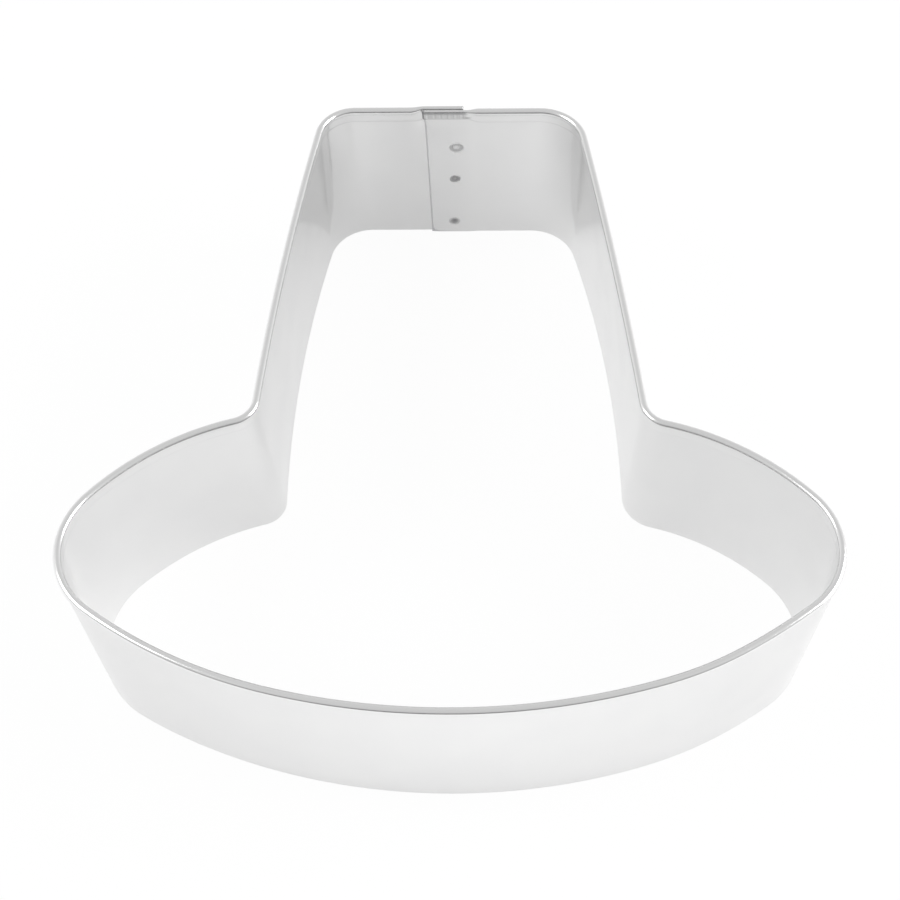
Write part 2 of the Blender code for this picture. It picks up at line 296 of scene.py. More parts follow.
@dataclass(frozen=True)
class Outline:
    """Middle line of the sheet in plan, one chain of tangent arcs on each side.

    The crown's right-hand run lies lap_step inside the left-hand one. The crown's
    sides are arcs whose ends lie crown_drop apart in y.
    """

    half_width: float
    front_y: float
    crown_y: float
    front_radius: float
    left: Half
    right: Half
    crown_drop: float = 48.0 * MM
    lap_step: float = 0.25 * MM

    def half(self, side: int, steps: Steps) -> tuple[Array, Array]:
        """One half of the outline, from the crown's corner to the middle of the front.

        Each circle touches the next: the distance of their centres is the sum of
        the radii where the bend turns over, and their difference where it doesn't.

        Args:
            side: 1 for the right-hand half, -1 for the left-hand one.
            steps: divisions along each arc.

        Returns:
            Points and outward directions, each an array of x and y.
        """
        half = self.right if side > 0 else self.left
        top_y = self.crown_y - (self.lap_step if side > 0 else 0.0)
        front_centre = np.array([0.0, self.front_y + self.front_radius])
        shoulder_start = half.front_turn - pi / 2
        to_shoulder = self.front_radius - half.shoulder_radius
        shoulder_centre = front_centre + to_shoulder * unit(shoulder_start)
        flank_start = shoulder_start + half.shoulder_turn
        to_flank = half.shoulder_radius - half.flank_radius
        flank_centre = shoulder_centre + to_flank * unit(flank_start)
        to_tip = half.flank_radius - half.tip_radius
        tip_x = self.half_width - half.tip_radius
        tip_drop = np.sqrt(to_tip**2 - (tip_x - flank_centre[0]) ** 2)
        tip_centre = np.array([tip_x, flank_centre[1] - tip_drop])
        back_centre = tip_centre - (half.back_radius - half.tip_radius) * unit(half.tip_turn)

        upper = np.array([half.crown_top, self.crown_y])
        lower = np.array([half.crown_low, self.crown_y - self.crown_drop])
        run = lower - upper
        length = np.hypot(*run)
        outward = np.array([-run[1], run[0]]) / length
        side_radius = (length**2 / 4 + half.side_bow**2) / (2 * half.side_bow)
        side_centre = (upper + lower) / 2 + outward * (half.side_bow - side_radius)
        corner = half.corner_radius
        corner_y = top_y - corner
        reach = np.sqrt((side_radius - corner) ** 2 - (corner_y - side_centre[1]) ** 2)
        corner_centre = np.array([side_centre[0] + reach, corner_y])
        neck = half.neck_radius
        neck_centre = crossing(
            side_centre, side_radius + neck, back_centre, half.back_radius + neck
        )

        corner_end = heading(side_centre, corner_centre)
        side_end = heading(side_centre, neck_centre)
        neck_end = heading(neck_centre, back_centre)
        back_start = heading(back_centre, neck_centre)
        tip_end = heading(flank_centre, tip_centre)
        hollow, hollow_away = arc(neck_centre, neck, side_end - pi, neck_end, steps.neck)
        stretches = [
            (np.array([[corner_centre[0], top_y]]), np.array([[0.0, 1.0]])),
            arc(corner_centre, corner, pi / 2, corner_end, steps.corner),
            arc(side_centre, side_radius, corner_end, side_end, steps.side),
            (hollow, -hollow_away),
            arc(back_centre, half.back_radius, back_start, half.tip_turn, steps.back),
            arc(tip_centre, half.tip_radius, half.tip_turn, tip_end, steps.tip),
            arc(flank_centre, half.flank_radius, tip_end, flank_start, steps.flank),
            arc(shoulder_centre, half.shoulder_radius, flank_start, shoulder_start, steps.shoulder),
            arc(front_centre, self.front_radius, shoulder_start, -pi / 2, steps.front),
        ]
        mirror = np.array([side, 1.0])
        points, outwards = (np.vstack(part) * mirror for part in zip(*stretches))
        return points, outwards


@dataclass(frozen=True)
class Lap:
    """The two ends of the strip where they overlap at the middle of the crown's top.

    The gap is what is left between the layers, and the ends and the joggle are given
    by their x. From tuck_depth below the rim upwards the layers lean apart, the outer
    one by spread, which grows over spread_run, until a crevice is left between the
    hems. Both beads are crushed to a radius of crushed_bead, and the inner flap to a
    depth of crushed_flap.

    The outer end's upper corner is cut back by corner_cut over corner_drop and
    corner_run. The inner hem's end juts out by jut, over jut_rise and jut_run. The
    inner layer's free end springs back to sprung_gap from the outer one, over
    spring_run.
    """

    gap: float = 0.07 * MM
    tuck_depth: float = 5.20 * MM
    outer_end: float = 1.44 * MM
    inner_end: float = -3.92 * MM
    inner_end_low: float = -3.45 * MM
    joggle_start: float = 3.55 * MM
    joggle_end: float = 1.90 * MM
    crushed_bead: float = 0.30 * MM
    crushed_flap: float = 1.62 * MM
    spread: float = 0.30 * MM
    spread_run: float = 1.80 * MM
    crevice: float = 0.15 * MM
    sprung_gap: float = 0.02 * MM
    spring_run: float = 1.5 * MM
    corner_cut: float = 0.18 * MM
    corner_drop: float = 0.45 * MM
    corner_run: float = 0.5 * MM
    jut: float = 0.25 * MM
    jut_rise: float = 0.3 * MM
    jut_run: float = 1.0 * MM


@dataclass(frozen=True)
class Hem:
    """Fold of the upper edge: an open bead, and a flap folded down inside the wall.

    The flap's lower edge is burnished down towards the wall over the length worn, by
    the share burnish of the sheet's thickness.
    """

    sheet: float = 0.28 * MM
    bead: float = 0.50 * MM
    gap: float = 0.04 * MM
    bend: float = 0.38 * MM
    flap_depth: float = 2.40 * MM
    worn: float = 0.40 * MM
    burnish: float = 0.6

    @property
    def pitch(self) -> float:
        """From the middle of the wall to the middle of the flap."""
        return self.sheet + self.gap


@dataclass(frozen=True)
class Course:
    """The strip's course round the hat, one entry for each station along it."""

    rim: Array
    edge: Array
    outward: Array
    joggle: Array
    spread: Array

    @property
    def run(self) -> Array:
        """Length along the rim from the outer layer's end, the sum of the steps so far."""
        steps = np.linalg.norm(np.diff(self.rim, axis=0), axis=1)
        return np.concatenate([[0.0], np.cumsum(steps)])

    @property
    def to_end(self) -> Array:
        """Length along the rim that is left to the inner layer's end, as a column."""
        return self.run[-1] - self.run[:, None]


@dataclass(frozen=True)
class Wave:
    """A slight wave in the sheet: a sine along the strip times one up it.

    Share is its part of the ripple's depth, length the millimetres along the strip
    to a radian, halves the half waves from edge to rim, and skew the radians that
    its crest shifts from edge to rim.
    """

    share: float
    length: float
    phase: float
    halves: int
    skew: float = 0.0


@dataclass(frozen=True)
class Dent:
    """A shallow dent or swelling in the crown's top, where a tool or a thumb pressed it."""

    x: float
    height: float
    width: float
    tall: float
    depth: float


@dataclass(frozen=True)
class Unevenness:
    """Waves that bending leaves in thin sheet, and the dents in the crown's top.

    The crown's top is what lies within top_band of the outline's highest y. No wave
    runs there within calm_half of calm_middle, where the lap holds the sheet.
    """

    ripple: float = 0.020 * MM
    waves: tuple[Wave, ...] = (
        Wave(share=0.55, length=7.1, phase=0.8, halves=1),
        Wave(share=0.45, length=3.3, phase=2.1, halves=2),
        Wave(share=0.35, length=11.7, phase=4.0, halves=1, skew=1.0),
    )
    dents: tuple[Dent, ...] = (
        Dent(x=-6.3 * MM, height=21.4 * MM, width=0.9 * MM, tall=1.2 * MM, depth=0.030 * MM),
        Dent(x=-1.2 * MM, height=19.3 * MM, width=0.5 * MM, tall=0.5 * MM, depth=-0.012 * MM),
        Dent(x=2.1 * MM, height=1.9 * MM, width=0.15 * MM, tall=0.8 * MM, depth=0.015 * MM),
    )
    top_band: float = 1.0 * MM
    calm_middle: float = -1.0 * MM
    calm_half: float = 5.0 * MM

    def shift(self, course: Course, heights: Array, crown_y: float, top: float) -> Array:
        """How far the sheet stands out at every point.

        The waves have whole numbers of half sines from edge to rim, so both stay
        true. A dent is the product of a hump along the strip and a hump up it.

        Args:
            course: the course of the strip.
            heights: heights, stations by points.
            crown_y: highest y of the rim's outline.
            top: height of the strip.

        Returns:
            The shifts outwards, stations by points.
        """
        run = course.run[:, None] / MM
        level = pi * heights / top
        waves = sum(
            wave.share
            * np.sin(run / wave.length + wave.phase + wave.skew * (heights / top))
            * np.sin(wave.halves * level)
            for wave in self.waves
        )
        x, y = course.rim[:, :1], course.rim[:, 1:]
        on_top = y > crown_y - self.top_band
        calm = np.where(on_top & (np.abs(x - self.calm_middle) < self.calm_half), 0.0, 1.0)
        pressed = sum(
            dent.depth * hump(x, dent.x, dent.width) * hump(heights, dent.height, dent.tall)
            for dent in self.dents
        )
        return self.ripple * waves * calm + pressed * on_top


@dataclass(frozen=True)
class JawMarksAndShade:
    """What the jaws left on the inner layer's flattened hem: dents, and a mask that the material
    paints darker, partly as painted shade. Its lengths are plain millimetres.

    A streak is a sine along the hem, by its radians to the millimetre and its phase.
    A low place is measured down from the rim, an x from the middle of the hat. The
    strengths run from 0 to 1, a streak's as how much the streaks add or take off.
    """

    streaks: tuple[tuple[float, float], ...] = ((15.1, 0.4), (8.3, 2.0), (22.7, 1.0))
    jaw_end_x: float = 2.2
    jaw_fade: float = 0.9
    groove_low: float = 0.30
    groove_tall: float = 0.20
    groove_strength: float = 0.70
    groove_streak: float = 0.35
    face_rise: float = 0.2
    face_low: float = 1.65
    face_fade: float = 0.5
    face_strength: float = 0.12
    face_streak: float = 0.36
    dash_low: float = 1.15
    dash_tall: float = 0.16
    dash_x: float = 1.95
    dash_wide: float = 0.45
    dash_strength: float = 0.55
    pinch_shade_run: float = 0.22
    pinch_shade_low: float = 5.4
    pinch_shade_fade: float = 2.0

    def pressed(self, course: Course, heights: Array, top: float) -> Array:
        """How hard the jaws bit, from 0 to 1.

        Upright streaks, half plus half the mean of the sines along the hem, fade
        down from a groove under the bead, and a short dash sits where the jaws ran
        out. At the cut end the mask marks the hollow of the pinched hem. The material
        paints the mask darker: darker streaks on the pressed face, painted shade in
        the groove, painted shadow under the rising bead at the dash, and painted
        shade in the hollow at the cut end.

        Args:
            course: the course of the strip.
            heights: heights, stations by points.
            top: height of the strip.

        Returns:
            The strength at every point, stations by points.
        """
        x = course.rim[:, :1] / MM
        low = (top - heights) / MM
        sines = sum(np.sin(turn * x + phase) for turn, phase in self.streaks)
        streaks = 0.5 + sines / (2 * len(self.streaks))
        jaws = ease((self.jaw_end_x - x) / self.jaw_fade)
        groove = self.groove_strength - self.groove_streak * streaks
        groove = hump(low, self.groove_low, self.groove_tall) * groove
        fading = ease(low / self.face_rise) * ease((self.face_low - low) / self.face_fade)
        face = fading * (self.face_strength + self.face_streak * streaks)
        along = hump(x, self.dash_x, self.dash_wide)
        dash = self.dash_strength * hump(low, self.dash_low, self.dash_tall) * along
        # Painted shade in the hollow at the inner hem's cut end, which also dents it a little.
        pinch_shade = hump(course.to_end / MM, 0.0, self.pinch_shade_run)
        pinch_shade = pinch_shade * ease((self.pinch_shade_low - low) / self.pinch_shade_fade)
        bitten = (groove + face) * jaws + dash
        return np.clip(np.maximum(bitten, pinch_shade), 0, 1) * course.joggle[:, None]


@dataclass
class HatStrip:
    """The hemmed strip, bent to the hat's outline and lapped at the crown's top.

    The cutting edge is chamfered by edge_chamfer, the cut ends are rounded by
    end_round, and the jaws bit by bite at most. The scale and the shift that fit the
    plan to the solid are set when the strip is built.

    The map of cut edges and shade runs out to edge_map_reach, in millimetres, and the uncoated
    steel is seam_shade_widening times as wide at the inner layer's end as at the other cut edges:
    that wider dark band is painted shade along the seam.
    """

    rim: Outline
    edge: Outline
    height: float = 25.4 * MM
    hem: Hem = field(default_factory=Hem)
    lap: Lap = field(default_factory=Lap)
    steps: Steps = field(default_factory=Steps)
    unevenness: Unevenness = field(default_factory=Unevenness)
    jaw_marks_and_shade: JawMarksAndShade = field(default_factory=JawMarksAndShade)
    edge_chamfer: float = 0.03 * MM
    end_round: float = 0.06 * MM
    bite: float = 0.05 * MM
    seam_shade_widening: float = 3.5
    edge_map_reach: float = 3.0
    crease: float = radians(40)
    scale: Array = field(default_factory=lambda: np.ones(2))
    shift: Array = field(default_factory=lambda: np.zeros(2))

    def top_run(self, rim_x: Array, edge_x: Array, inner: bool) -> Course:
        """Stations on the crown's top.

        The right-hand run lies one lap step inside the left-hand one, and past the
        joggle it lies one sheet and the gap inside it.

        Args:
            rim_x: places along the top, at the rim.
            edge_x: the same places at the cutting edge.
            inner: whether this is the right-hand run, which ends under the other.

        Returns:
            The course of this run.
        """
        lap, step = self.lap, self.rim.lap_step
        zero = np.zeros(len(rim_x))
        if inner:
            joggle = ease((lap.joggle_start - rim_x) / (lap.joggle_start - lap.joggle_end))
            back = step + (self.hem.sheet + lap.gap - step) * joggle
            spread = zero
        else:
            joggle = back = zero
            spread = ease(1.0 + (rim_x - lap.inner_end) / lap.spread_run)
        return Course(
            rim=np.column_stack([rim_x, self.rim.crown_y - back]),
            edge=np.column_stack([edge_x, self.edge.crown_y - back]),
            outward=np.tile([0.0, 1.0], (len(rim_x), 1)),
            joggle=joggle,
            spread=spread,
        )

    def course(self) -> Course:
        """The whole course, from the outer layer's end left round the hat to the inner one's.

        Returns:
            Its stations, which crowd at both cut ends.
        """
        lap, steps = self.lap, self.steps
        halves = {}
        for side in (-1, 1):
            rim, rim_out = self.rim.half(side, steps)
            edge, edge_out = self.edge.half(side, steps)
            outward = rim_out + edge_out
            outward /= np.linalg.norm(outward, axis=1)[:, None]
            zero = np.zeros(len(rim))
            halves[side] = Course(rim, edge, outward, zero, zero)
        left, right = halves[-1], halves[1]
        back_round = Course(*(values[-2::-1] for values in vars(right).values()))

        over = lap.outer_end + (lap.inner_end - lap.outer_end) * self.crowded(steps.lap)
        between = np.linspace(0, 1, steps.top + 1)[1:-1]
        joggled = np.linspace(lap.joggle_start, lap.joggle_end, steps.joggle + 1)
        under = 1 - self.crowded(steps.lap)[::-1][1:]
        runs = [
            self.top_run(over, over, inner=False),
            self.top_run(
                lap.inner_end + (left.rim[0, 0] - lap.inner_end) * between,
                lap.inner_end + (left.edge[0, 0] - lap.inner_end) * between,
                inner=False,
            ),
            left,
            back_round,
            self.top_run(
                right.rim[0, 0] + (lap.joggle_start - right.rim[0, 0]) * between,
                right.edge[0, 0] + (lap.joggle_start - right.edge[0, 0]) * between,
                inner=True,
            ),
            self.top_run(joggled, joggled, inner=True),
            self.top_run(
                lap.joggle_end + (lap.inner_end - lap.joggle_end) * under,
                lap.joggle_end + (lap.inner_end_low - lap.joggle_end) * under,
                inner=True,
            ),
        ]
        parts = zip(*(vars(run).values() for run in runs))
        return Course(*(np.concatenate(part) for part in parts))

    def crowded(self, steps: int) -> Array:
        """Even shares from 0 to 1 with two more close to 0, for the rounding of a cut end.

        Args:
            steps: number of even steps.

        Returns:
            The shares, rising.
        """
        close = self.end_round / (self.lap.outer_end - self.lap.inner_end)
        near = [0.0, self.steps.end_crowding * close, close]
        return np.concatenate([near, np.linspace(0, 1, steps + 1)[1:]])

    def half_sheet(self, course: Course) -> Array:
        """Half the sheet's thickness, rounded off at both cut ends.

        The rounding is a quarter circle: it takes off the radius less the root of
        radius squared less the square of what is left of it from the end.

        Args:
            course: the course of the strip.

        Returns:
            Half the thickness at every station.
        """
        run = course.run
        near = np.minimum(np.minimum(run, run[-1] - run), self.end_round)
        loss = self.end_round - np.sqrt(self.end_round**2 - (self.end_round - near) ** 2)
        return self.hem.sheet / 2 - loss

    def face(self, course: Course, side: int) -> tuple[Array, Array, Array]:
        """One face of the folded sheet, as offsets and heights at every station.

        The sheet's middle line runs straight up the wall, swings outwards on a bend,
        goes round the bead, swings back on a second bend and runs straight down the
        flap. Each bend touches the bead, so the cosine of its angle is (bend radius
        plus half the pitch) over (bend radius plus bead radius). A face lies half a
        sheet to one side of that line.

        Args:
            course: the course of the strip.
            side: 1 for the outer face, -1 for the one inside the fold.

        Returns:
            Offsets outwards from the wall's middle, heights, and 1 for each point
            past the top of the bead, all as stations by points.
        """
        hem, lap, steps = self.hem, self.lap, self.steps
        half = self.half_sheet(course)[:, None]
        joggle = course.joggle[:, None]
        crushed = np.maximum(joggle, course.spread[:, None])
        outside = hem.bead + (lap.crushed_bead - hem.bead) * crushed
        flap = hem.flap_depth + (lap.crushed_flap - hem.flap_depth) * joggle
        radius = outside - hem.sheet / 2
        centre_z = self.height - outside
        turn = np.arccos(np.minimum((hem.bend + hem.pitch / 2) / (hem.bend + radius), 1.0))
        bend_z = centre_z - (hem.bend + radius) * np.sin(turn)
        bend = hem.bend - side * half
        bead = radius + side * half

        tuck_start = self.height - lap.tuck_depth
        tuck_end = self.height - hem.flap_depth - hem.sheet
        walls = np.concatenate([
            [0.0],
            np.linspace(self.edge_chamfer, tuck_start, steps.wall + 1),
            np.linspace(tuck_start, tuck_end, steps.tuck + 1)[1:],
        ])
        wall_offset = side * (half - self.edge_chamfer * (walls == 0.0))
        angle = turn * np.linspace(0, 1, steps.bend + 1)
        bead_angle = -turn + (pi + 2 * turn) * np.linspace(0, 1, steps.bead + 1)[1:-1]
        flap_low = self.height - flap
        to_low = (1 - np.linspace(0, 1, steps.flap + 1)[1:]) ** steps.flap_crowding
        flap_z = flap_low + (bend_z - flap_low) * to_low
        burnished = hem.burnish * (1 + side) * half * ease(1 - (flap_z - flap_low) / hem.worn)

        offsets = np.hstack([
            wall_offset,
            hem.bend - bend * np.cos(angle),
            bead * np.cos(bead_angle) - hem.pitch / 2,
            bend * np.cos(angle[:, ::-1]) - hem.bend - hem.pitch,
            burnished - hem.pitch - side * half,
        ])
        heights = np.hstack([
            walls + 0 * half,
            bend_z + bend * np.sin(angle),
            centre_z + bead * np.sin(bead_angle),
            bend_z + bend * np.sin(angle[:, ::-1]),
            flap_z,
        ])
        top = len(walls) + steps.bend + 1 + steps.bead // 2
        return offsets, heights, (np.arange(heights.shape[1]) >= top) + 0 * heights

    def lean(self, course: Course, heights: Array) -> Array:
        """How far the lap's two layers lean out or in, so that their hems lie side by side.

        The outer layer leans out by the spread. The inner one leans in by the pitch
        plus the crevice, less the spread and the gap that is there already, and
        below that its free end springs back against the outer layer.

        Args:
            course: the course of the strip.
            heights: heights, stations by points.

        Returns:
            The shifts outwards, stations by points.
        """
        hem, lap = self.hem, self.lap
        inwards = hem.pitch + lap.crevice - lap.spread - lap.gap
        tuck = lap.tuck_depth - hem.flap_depth - hem.sheet
        upper = ease((heights - self.height + lap.tuck_depth) / tuck)
        spring = (lap.gap - lap.sprung_gap) * ease(1 - course.to_end / lap.spring_run)
        lean = lap.spread * course.spread[:, None] - inwards * course.joggle[:, None]
        return lean * upper + spring * (1 - upper)

    def end_shift(self, course: Course, heights: Array) -> Array:
        """Shift in x at the cut ends, where one corner is cut back and the other juts out.

        The outer hem's corner goes back by the square of the height in it, and the
        inner hem's end juts out smoothly.

        Args:
            course: the course of the strip.
            heights: heights, stations by points.

        Returns:
            The shifts, stations by points.
        """
        lap = self.lap
        into_corner = (heights - self.height + lap.corner_drop) / lap.corner_drop
        corner = np.clip(into_corner, 0, 1) ** 2 * ease(1 - course.run[:, None] / lap.corner_run)
        up_flap = (heights - self.height + lap.crushed_flap) / lap.jut_rise
        jut = ease(up_flap) * ease(1 - course.to_end / lap.jut_run)
        return -lap.corner_cut * corner - lap.jut * jut

    def surface(self) -> tuple[Array, Array, Array]:
        """The whole strip as a grid of stations along the hat by points round the section.

        A point is the straight blend from the edge's outline to the rim's at its
        height, plus its offset along the outward direction.

        Returns:
            The points, a map of metres along and up the sheet, and a map whose u is
            the millimetres from the nearest cut edge, shrunk at the inner layer's end so that
            its uncoated band widens into painted shade along the seam, and whose v is how
            hard the jaws bit there, which the material also paints darker, partly as painted shade.
        """
        course = self.course()
        run = course.run[:, None]
        # Dividing here widens the dark uncoated band at the inner layer's end into painted shade
        # along the seam.
        to_end = np.minimum(run, course.to_end / self.seam_shade_widening)
        points, sheet, edges_and_shade = [], [], []
        for side in (1, -1):
            offsets, heights, folded = self.face(course, side)
            marks = folded * self.jaw_marks_and_shade.pressed(course, heights, self.height)
            uneven = self.unevenness.shift(course, heights, self.rim.crown_y, self.height)
            shift = uneven + self.lean(course, heights) + (side > 0) * self.bite * marks
            share = (heights / (self.height - self.hem.bead))[..., None]
            middle = course.edge[:, None] * (1 - share) + course.rim[:, None] * share
            plan = middle + course.outward[:, None] * (offsets + shift)[..., None]
            plan[..., 0] += self.end_shift(course, heights)
            steps = np.hypot(np.diff(offsets), np.diff(heights))
            up = np.hstack([np.zeros_like(run), steps.cumsum(axis=1)])
            to_cut = np.minimum(up, to_end) / MM
            points.append(np.dstack([plan, heights])[:, ::side])
            sheet.append(np.dstack([run + 0 * up, up])[:, ::side])
            edges_and_shade.append(np.dstack([np.minimum(to_cut, self.edge_map_reach), marks])[:, ::side])
        closed = (np.concatenate(part + [part[0][:, :1]], axis=1) for part in (sheet, edges_and_shade))
        return np.concatenate(points, axis=1), *closed

    def build(self, solid: tuple[Vector, Vector]) -> bpy.types.Object:
        """The strip, fitted to the plan of the solid that it stands for.

        Fine arcs reach a few hundredths of a millimetre further than the solid's
        facets, so the plan is scaled by what the solid's box asks for.

        Args:
            solid: lowest and highest corner of the solid.

        Returns:
            The strip without its weld holes.
        """
        points, sheet, edges_and_shade = self.surface()
        low, high = points.reshape(-1, 3).min(axis=0)[:2], points.reshape(-1, 3).max(axis=0)[:2]
        solid_low, solid_high = (np.array(corner)[:2] for corner in solid)
        self.scale = (solid_high - solid_low) / (high - low)
        self.shift = solid_low - low * self.scale
        points[..., :2] = points[..., :2] * self.scale + self.shift
        rows, columns = points.shape[:2]
        ladder = np.arange(columns // 2 - 1)
        rungs = np.stack([ladder, ladder + 1, columns - 2 - ladder, columns - 1 - ladder], axis=1)
        near = [np.column_stack([np.zeros(4, int), rung[::-1]]) for rung in rungs]
        far = [np.column_stack([np.full(4, rows - 1), rung]) for rung in rungs]
        corners = grid_faces(rows, columns, round_rows=False, round_columns=True)
        maps = {"sheet": sheet, "edges_and_shade": edges_and_shade}
        return make_solid("hat_strip", points, corners, near + far, maps, self.crease)

    def lap_middle(self, x: float, height: float) -> tuple[Vector, float]:
        """Middle of the two layers at a place on the lap.

        Args:
            x: place along the crown's top.
            height: height above the cutting edge.

        Returns:
            The place, and the angle by which the wall leans there.
        """
        share = height / (self.height - self.hem.bead)
        outer_y = self.edge.crown_y * (1 - share) + self.rim.crown_y * share
        middle_y = outer_y + self.hem.sheet / 2 - self.stack / 2
        plan = np.array([x, middle_y]) * self.scale + self.shift
        lean = atan2(self.edge.crown_y - self.rim.crown_y, self.height - self.hem.bead)
        return Vector((*plan, height)), lean

    @property
    def stack(self) -> float:
        """Thickness of both layers and the gap between them."""
        return 2 * self.hem.sheet + self.lap.gap


class Print(Enum):
    """The mark of the electrode: a clear ring, a deep pit to one side, or a blurred bowl."""

    RING = "ring"
    PIT = "pit"
    BOWL = "bowl"


# Depth in millimetres, middle and width of each hump of a print, by the oval's distance.
PRINT_HUMPS = {
    Print.RING: ((0.06, 0.68, 0.20), (0.02, 0.0, 0.3)),
    Print.PIT: ((0.10, 0.10, 0.50),),
    Print.BOWL: ((0.08, 0.10, 0.52),),
}

# The same for the low lip that every print has round it.
PRINT_LIP = (-0.012, 0.95, 0.07)


@dataclass(frozen=True)
class SpotWeld:
    """One spot weld, a short slug through both layers with a print in each face.

    The print is an oval, its half lengths long and tall and its middle given in shares
    of the radius and its tilt in radians. It fades out over the last fade of the radius.
    Each face has sides points round it, in rings from pole, close to the middle, outwards.
    """

    name: str
    node: str
    x: float
    height: float
    radius: float
    mark: Print
    long: float = 1.0
    tall: float = 0.8
    tilt: float = 0.0
    middle: tuple[float, float] = (0.0, 0.0)
    fade: float = 0.12
    sides: int = 72
    rings: int = 33
    pole: float = 0.02
    crease: float = radians(50)

    def oval(self, share: Array, turn: Array) -> Array:
        """Distance from the print's middle, 1 all along its oval outline.

        It is the root of the sum of two squares: the way along the oval over its
        long half, and the way across it over its tall half.

        Args:
            share: distance from the slug's middle over the radius, 0 to 1.
            turn: angle about the weld's axis.

        Returns:
            The oval's distance at every point.
        """
        x = share * np.cos(turn) - self.middle[0]
        y = share * np.sin(turn) - self.middle[1]
        along = x * np.cos(self.tilt) + y * np.sin(self.tilt)
        across = y * np.cos(self.tilt) - x * np.sin(self.tilt)
        return np.hypot(along / self.long, across / self.tall)

    def depth(self, share: Array, turn: Array) -> Array:
        """Depth of the print below the sheet's face, a sum of humps over the oval's distance.

        Args:
            share: distance from the slug's middle over the radius, 0 to 1.
            turn: angle about the weld's axis.

        Returns:
            Depth in metres, 0 at the slug's rim.
        """
        oval = self.oval(share, turn)
        humps = (*PRINT_HUMPS[self.mark], PRINT_LIP)
        shape = sum(deep * hump(oval, middle, width) for deep, middle, width in humps)
        return shape * ease((1.0 - share) / self.fade) * MM

    def stand(self, strip: HatStrip, points: Array) -> Array:
        """Points about an axis along y, put in place on the leaning wall."""
        centre, lean = strip.lap_middle(self.x, self.height)
        return points @ np.array(Matrix.Rotation(lean, 3, "X")).T + np.array(centre)

    def build(self, strip: HatStrip) -> bpy.types.Object:
        """The slug as a surface of revolution about the wall's normal.

        A point is its radius times the direction across the wall, plus its level
        along the normal: from the middle of one face outwards, and back to the
        middle of the other one.

        Args:
            strip: the strip that it holds together.

        Returns:
            The finished object.
        """
        turn = np.linspace(0, 2 * pi, self.sides, endpoint=False)[:, None]
        share = np.concatenate([np.linspace(self.pole, 1 - self.pole, self.rings), [1.0]])[None, :]
        level = strip.stack / 2 - self.depth(share, turn)
        radius = share * self.radius + 0 * level
        radii = np.hstack([radius, radius[:, ::-1]])
        levels = np.hstack([-level, level[:, ::-1]])
        upright = np.stack([radii * np.cos(turn), levels, radii * np.sin(turn)], axis=-1)
        points = self.stand(strip, upright)

        turns = np.vstack([turn, [[2 * pi]]])
        shares = np.hstack([share, share[:, ::-1]])
        uv = np.dstack([turns / (2 * pi) + 0 * shares, self.oval(shares, turns)])
        rows, columns = points.shape[:2]
        corners = grid_faces(rows, columns, round_rows=True, round_columns=False)
        caps = end_caps(rows, columns)
        return make_solid(self.name, points, corners, caps, {"print": uv}, self.crease)

    def bore(self, strip: HatStrip, clearance: float, sharp: float) -> bpy.types.Object:
        """A plain cylinder that cuts the hole through both layers.

        Args:
            strip: the strip that is cut.
            clearance: how much wider the hole is than the slug, in radius.
            sharp: edges that turn by more than this angle stay crisp.

        Returns:
            The cutter.
        """
        turn = np.linspace(0, 2 * pi, self.sides, endpoint=False)
        radius = self.radius + clearance
        reach = strip.stack + 2 * strip.hem.bead
        x, z = radius * np.cos(turn), radius * np.sin(turn)
        ends = (np.column_stack([x, np.full_like(turn, y), z]) for y in (-reach, reach))
        points = np.stack([self.stand(strip, end) for end in ends], axis=1)
        corners = grid_faces(self.sides, 2, round_rows=True, round_columns=False)
        caps = end_caps(self.sides, 2)
        return make_solid(self.name + "_bore", points, corners, caps, {}, sharp)


@dataclass
class WeldRow:
    """The row of spot welds down the lap."""

    welds: tuple[SpotWeld, ...]
    clearance: float = 0.012 * MM
    bore_crease: float = radians(30)

    def pierce(self, body: bpy.types.Object, strip: HatStrip) -> None:
        """Cut the welds' holes out of the strip, each a little wider than its slug.

        Args:
            body: the strip's object.
            strip: the strip's sizes.
        """
        for weld in self.welds:
            cutter = weld.bore(strip, self.clearance, self.bore_crease)
            hole = body.modifiers.new(cutter.name, "BOOLEAN")
            hole.operation = "DIFFERENCE"
            hole.solver = "EXACT"
            hole.object = cutter
        graph = bpy.context.evaluated_depsgraph_get()
        pierced = bpy.data.meshes.new_from_object(body.evaluated_get(graph))
        cutters = [hole.object for hole in body.modifiers]
        body.modifiers.clear()
        body.data = pierced
        for cutter in cutters:
            bpy.data.objects.remove(cutter, do_unlink=True)
        shade(body, strip.crease)

    def build(self, strip: HatStrip) -> list[tuple[SpotWeld, bpy.types.Object]]:
        """Every weld with its finished slug."""
        return [(weld, weld.build(strip)) for weld in self.welds]


